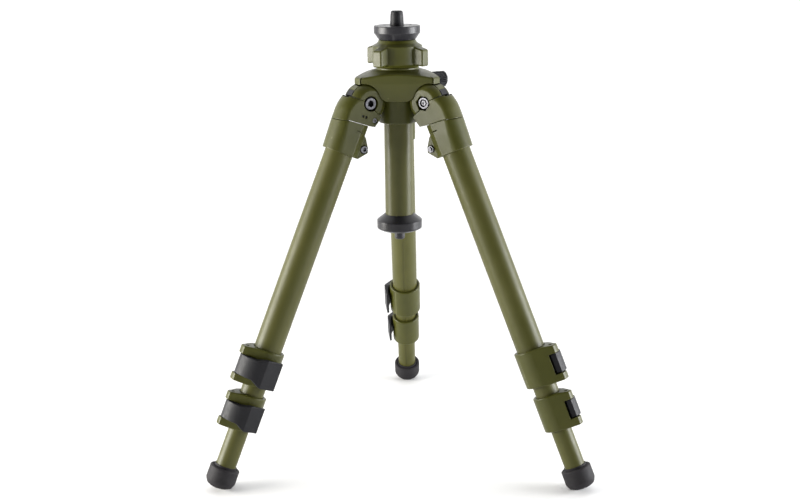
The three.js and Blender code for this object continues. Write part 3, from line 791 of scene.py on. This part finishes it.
# ---------------------------------------------------------------- flip locks
def lock_field(lock):
    """A lock's body: a collar, and a tapered ear with a window in it where the lever turns."""
    top, height, body, size = lock["top"], lock["height"], lock["body"], lock["size"]
    pivot, clear = PIVOT * size, 8.2 * size
    room_top = -top - WINDOW_FROM
    room_bottom = room_top - WINDOW_TALL * size
    skin = body + 0.2
    arc = [(skin * math.cos(math.radians(d)), skin * math.sin(math.radians(d))) for d in range(78, 33, -11)]
    room = [(-22, skin), (0, skin)] + arc
    room += [(16.2 * size, 5 * size), (pivot, 0), (pivot + 14, 0), (pivot + 14, 32), (-22, 32)]
    flank = EAR["flank"]

    def field(x, y, z):
        a = np.abs(y)
        radial = np.hypot(x, y)
        ear_end = np.hypot(x - EAR["centre"] * size, y) - EAR["radius"] * size
        ear = both(x * math.cos(flank) + a * math.sin(flank) - body, ear_end, 0.35)
        ear = np.maximum(ear, body * math.cos(flank) - x)
        plan = np.minimum(radial - body, ear)
        droop = EAR["droop"] * step(x, 13 * size, 29 * size)
        made = both(plan, z + top + droop, 1.3)
        under = 1.2 * (1 - step(x, 4, 14))
        made = both(made, -top - height + under - z, 1.1)
        stage = lock["tube"]["end"] + 0.3
        upper = both(radial - lock["tube"]["radius"] - 0.3, -stage - z)
        lead = (radial - lock["tube"]["radius"] - 1.1 + (-top - z) * 0.9) * 0.74
        lower = radial - lock["next"]["radius"] - 0.3
        made = without(made, np.minimum(np.minimum(upper, lower), lead), 0.15)
        height_room = np.maximum(z - room_top, room_bottom - z)
        swing = np.minimum(np.hypot(x - pivot, y) - clear, np.maximum(pivot - x, a - clear))
        opening = np.minimum(outline(x, y, room), swing)
        made = without(made, both(opening, height_room, 0.3), 0.35)
        return without(made, np.hypot(x - pivot, y) - PIN_HOLE * size, 0.2)
    return field


def lever_field(lock):
    """A lever, curved round its lock and taller towards its free end."""
    top, size = lock["top"], lock["size"]
    outer = eased([(26.6, -2.5), (28, 3), (27, 8), (24, 14), (18.5, 20), (12.5, 23.8), (7, 25.3)])
    inner = eased([(-11, 19.6), (0, 20.7), (7, 19), (13.5, 14.6), (17.4, 8), (17.6, -2.5), (22, -5)])
    plan = [(x * size, y * size) for x, y in outer + [(-11.5, 22)] + inner]

    def field(x, y, z):
        flare = 1 - step(x, 5 * size, 18 * size)
        upper = z + top + WINDOW_FROM + LEVER_AIR - 3.6 * size * flare
        lower = -top - WINDOW_FROM - WINDOW_TALL * size + LEVER_AIR - 6 * size * flare - z
        made = all_of([outline(x, y, plan), upper * 0.93, lower * 0.93], 0.7 * size)
        return without(made, np.hypot(x - PIVOT * size, y) - PIN_HOLE * size)
    return field


def lock_pin(lock):
    """The pin that a lever turns on, along the tube."""
    top, height, size = lock["top"], lock["height"], lock["size"]
    low, high = -top - height + 0.5, -top - 2.3
    return lathe(rounded([(0, low), (1.5, low, 0.4), (1.5, high, 0.4), (0, high)], 0.3), 32)


def foot_profile():
    """The rubber foot's section: a rounded pad, a waist groove and a short sleeve."""
    return rounded([
        (0, -425.2), (9.5, -425.2, 3), (13.4, -423.2, 3.5), (15.65, -418.5, 3), (15.65, -404.2, 1.6),
        (13.2, -403.4, 0.6), (12.6, -404.6, 0.5), (11.8, -404.4, 0.4), (11.8, -401.5, 0.5),
        (10.95, -401.5, 0.2), (10.95, -420.3), (0, -420.3),
    ], 0.4, 6)


# ---------------------------------------------------------------- legs
def leg_frame(side):
    """A leg's own frame, from its swing joint and the line that its tubes slide on."""
    swing, slide = joints[f"{side}_leg_swing"], joints[f"{side}_middle_slide"]
    up = -Vector(slide["axis"]).normalized()
    turn = math.radians(LEGS[side])
    sideways = Vector((-math.sin(turn), math.cos(turn), 0))
    out = sideways.cross(up).normalized()
    axes = Matrix((out, sideways, up)).transposed().to_4x4()
    pin = STAND @ Vector((PIN_RADIUS * math.cos(turn), PIN_RADIUS * math.sin(turn), PIN_HEIGHT))
    return Matrix.Translation(pin) @ axes @ Matrix.Scale(MM, 4)


def lock_pieces(level, lock, carrier):
    """A flip lock's body, lever and pin. The carrier is the tube that the lock is fixed to."""
    z0, z1 = -lock["top"] - lock["height"] - 2, -lock["top"] + 2
    on_tube = (TUBE_OFFSET, 0, 0)
    at_pin = (TUBE_OFFSET + PIVOT * lock["size"], 0, 0)
    body = surface(lock_field(lock), (-20, -20, z0), (32, 20, z1), FINE)
    lever = surface(lever_field(lock), (-13, -8, z0), (31, 28, z1), FINE)
    return [
        (f"{level}_lock", body, on_tube, "olive_casting", carrier),
        (f"{level}_lever", lever, on_tube, "black_plastic", f"{level}_flip"),
        (f"{level}_lock_pin", lock_pin(lock), at_pin, "steel", carrier),
    ]


def leg_pieces():
    """Every piece of a leg once: name, mesh, its place in the leg's frame, slot and body."""
    on_pin, on_tube, at_clamp = (0, 0, 0), (TUBE_OFFSET, 0, 0), (CLAMP_BOLT[0], 0, CLAMP_BOLT[1])
    knuckle = surface(knuckle_field, (-21, -17, -22), (21, 17, 21), FINE)
    shoulder = surface(shoulder_field, (-20, -17, -29), (29, 17, 2), FINE)
    clamp = surface(clamp_field, (-21, -18, -59), (29, 18, -20), FINE)
    hinge_bolt = surface(hinge_bolt_field, (-8, -16, -8), (8, 16, 8), FINEST)
    clamp_bolt = surface(clamp_bolt_field, (-5, -13, -5), (5, 11, 5), FINEST)
    stop = surface(stop_sector(*STOP_PAD), (10, -7, -1), (21, 7, 10), FINEST)
    return [
        ("hinge_knuckle", knuckle, on_pin, "olive_casting", "leg"),
        ("leg_shoulder", shoulder, on_pin, "olive_casting", "leg"),
        ("tube_clamp", clamp, on_pin, "olive_casting", "leg"),
        ("hinge_bolt", hinge_bolt, on_pin, "steel", "leg"),
        ("upper_tube", tube_mesh(UPPER), on_tube, "olive_tube", "leg"),
        ("middle_tube", tube_mesh(MIDDLE), on_tube, "olive_tube", "middle"),
        ("lower_tube", tube_mesh(LOWER), on_tube, "olive_tube", "lower"),
        ("angle_stop", stop, on_pin, "black_plastic", "stop"),
        ("foot", lathe(foot_profile(), 112), on_tube, "rubber", "lower"),
        *lock_pieces("upper", UPPER_LOCK, "leg"),
        *lock_pieces("lower", LOWER_LOCK, "middle"),
        ("clamp_bolt", clamp_bolt, at_clamp, "steel", "leg"),
    ]


def tube_mesh(tube):
    return grooved_tube(tube["radius"], tube["bore"], -tube["end"], -tube["top"], depth=0.45)


def add_shoulder_details(side, leg):
    """The two small pins and the screw in the side of a leg's shoulder."""
    sideways = Matrix.Rotation(-math.pi / 2, 4, "X")
    for i, spot in enumerate(PIN_SPOTS):
        place = leg @ Matrix.Translation((spot, 13.5, PIN_LEVEL)) @ sideways
        pin = lathe(rounded([(0, 0), (1.15, 0), (1.15, 0.45, 0.15), (0, 0.45)], 0.1), 24)
        new_piece(f"{side}_shoulder_pin_{i + 1}", pin, place, f"{side}_leg", "black_plastic")
    place = leg @ Matrix.Translation((COUNTER_SCREW[0], 13.9, COUNTER_SCREW[1])) @ sideways
    dished = [(0, -0.6), (2.5, -0.6), (2.5, 0.3, 0.3), (1.4, 0.3), (1.3, -0.5), (0, -0.5)]
    screw = lathe(rounded(dished, 0.1), 32)
    new_piece(f"{side}_shoulder_screw", screw, place, f"{side}_leg", "steel")


def add_legs():
    """Three legs of the same meshes, and the small pieces that each leg has besides."""
    rows = leg_pieces()
    nose = surface(stop_sector(*STOP_NOSE), (10, -7, 4), (21, 7, 15), FINEST)
    for side in LEGS:
        leg = leg_frame(side)
        for name, made, offset, slot, body in rows:
            node = f"{side}_{name}"
            place = leg @ Matrix.Translation(offset)
            new_piece(f"{node}_finished", made, place, f"{side}_{body}", slot, [node])
        new_piece(f"{side}_stop_nose", nose, leg, f"{side}_stop", "olive_casting")
        add_shoulder_details(side, leg)


# ---------------------------------------------------------------- studio
CAMERA = {"place": (42.3, -1248.5, 559.1), "azimuth": 91.94, "pitch": -14.9, "roll": -0.0136, "lens": 54.17}
AIM = (0, 0, 0.25)
FLOOR_REACH, FLOOR_DROP = 30, 0.0005
SKY = (-0.4, 0.4, 0.04, 1.55)  # dark in front of the tripod, bright behind it


def add_camera():
    data = bpy.data.cameras.new("camera")
    data.lens = CAMERA["lens"]
    data.sensor_width = 36
    camera = bpy.data.objects.new("camera", data)
    turn, dip = math.radians(CAMERA["azimuth"]), math.radians(CAMERA["pitch"])
    ahead = Vector((math.cos(turn) * math.cos(dip), math.sin(turn) * math.cos(dip), math.sin(dip)))
    right = ahead.cross(Vector((0, 0, 1))).normalized()
    up = right.cross(ahead)
    cos, sin = math.cos(CAMERA["roll"]), math.sin(CAMERA["roll"])
    rolled_right = cos * right + sin * up
    rolled_up = cos * up - sin * right
    axes = Matrix((rolled_right, rolled_up, -ahead)).transposed().to_4x4()
    camera.matrix_world = Matrix.Translation(STAND @ Vector(CAMERA["place"])) @ axes
    bpy.context.scene.collection.objects.link(camera)
    bpy.context.scene.camera = camera


def area_light(name, place, size, power, color):
    data = bpy.data.lights.new(name, "AREA")
    data.shape = "RECTANGLE"
    data.size, data.size_y = size
    data.energy = power
    data.color = color
    light = bpy.data.objects.new(name, data)
    away = Vector(place) - Vector(AIM)
    light.matrix_world = Matrix.Translation(place) @ away.to_track_quat("Z", "Y").to_matrix().to_4x4()
    bpy.context.scene.collection.objects.link(light)


def add_floor():
    mesh = bpy.data.meshes.new("studio_floor")
    corners = [(x * FLOOR_REACH, y * FLOOR_REACH, 0) for x, y in ((-1, -1), (1, -1), (1, 1), (-1, 1))]
    mesh.from_pydata(corners, [], [(0, 1, 2, 3)])
    floor = bpy.data.objects.new("studio_floor", mesh)
    mesh.materials.append(floor_material())
    bpy.context.scene.collection.objects.link(floor)
    floor.location.z = -FLOOR_DROP


def add_lights():
    area_light("soft_left", place=(-1.4, -0.35, 0.34), size=(0.9, 0.68), power=42, color=(1, 0.98, 0.93))
    area_light("soft_right", place=(1.45, -0.15, 0.34), size=(0.9, 0.68), power=34, color=(0.97, 0.98, 1))


def add_world():
    """A sky that lights the tripod from behind, and shows a plain white backdrop."""
    world = bpy.data.worlds.new("studio")
    world.use_nodes = True
    tree = world.node_tree
    spot = tree.nodes.new("ShaderNodeTexCoord")
    split = tree.nodes.new("ShaderNodeSeparateXYZ")
    fade = tree.nodes.new("ShaderNodeMapRange")
    fade.interpolation_type = "SMOOTHSTEP"
    for key, value in zip(RANGE_SOCKETS, SKY):
        fade.inputs[key].default_value = value
    tree.links.new(spot.outputs["Generated"], split.inputs["Vector"])
    tree.links.new(split.outputs["Y"], fade.inputs["Value"])
    lit, backdrop = MIX_VALUES
    seen = tree.nodes.new("ShaderNodeMix")
    seen.inputs[backdrop].default_value = 1
    path = tree.nodes.new("ShaderNodeLightPath")
    tree.links.new(path.outputs["Is Camera Ray"], seen.inputs[MIX_FACTOR])
    tree.links.new(fade.outputs["Result"], seen.inputs[lit])
    tree.links.new(seen.outputs[MIX_VALUE_RESULT], tree.nodes["Background"].inputs["Strength"])
    tree.nodes["Background"].inputs["Color"].default_value = (1, 1, 1, 1)
    bpy.context.scene.world = world


def finish_kept_nodes():
    """The two CAD nodes that stay in view are dark nylon."""
    for name in ("guide_bush", "column_collet"):
        for spot in frame["nodes"][name].material_slots:
            spot.material = LOOKS["nylon"]


add_camera()
bpy.context.scene.view_settings.view_transform = "Standard"
add_floor()
add_lights()
add_world()
add_hub()
add_column()
add_legs()
finish_kept_nodes()
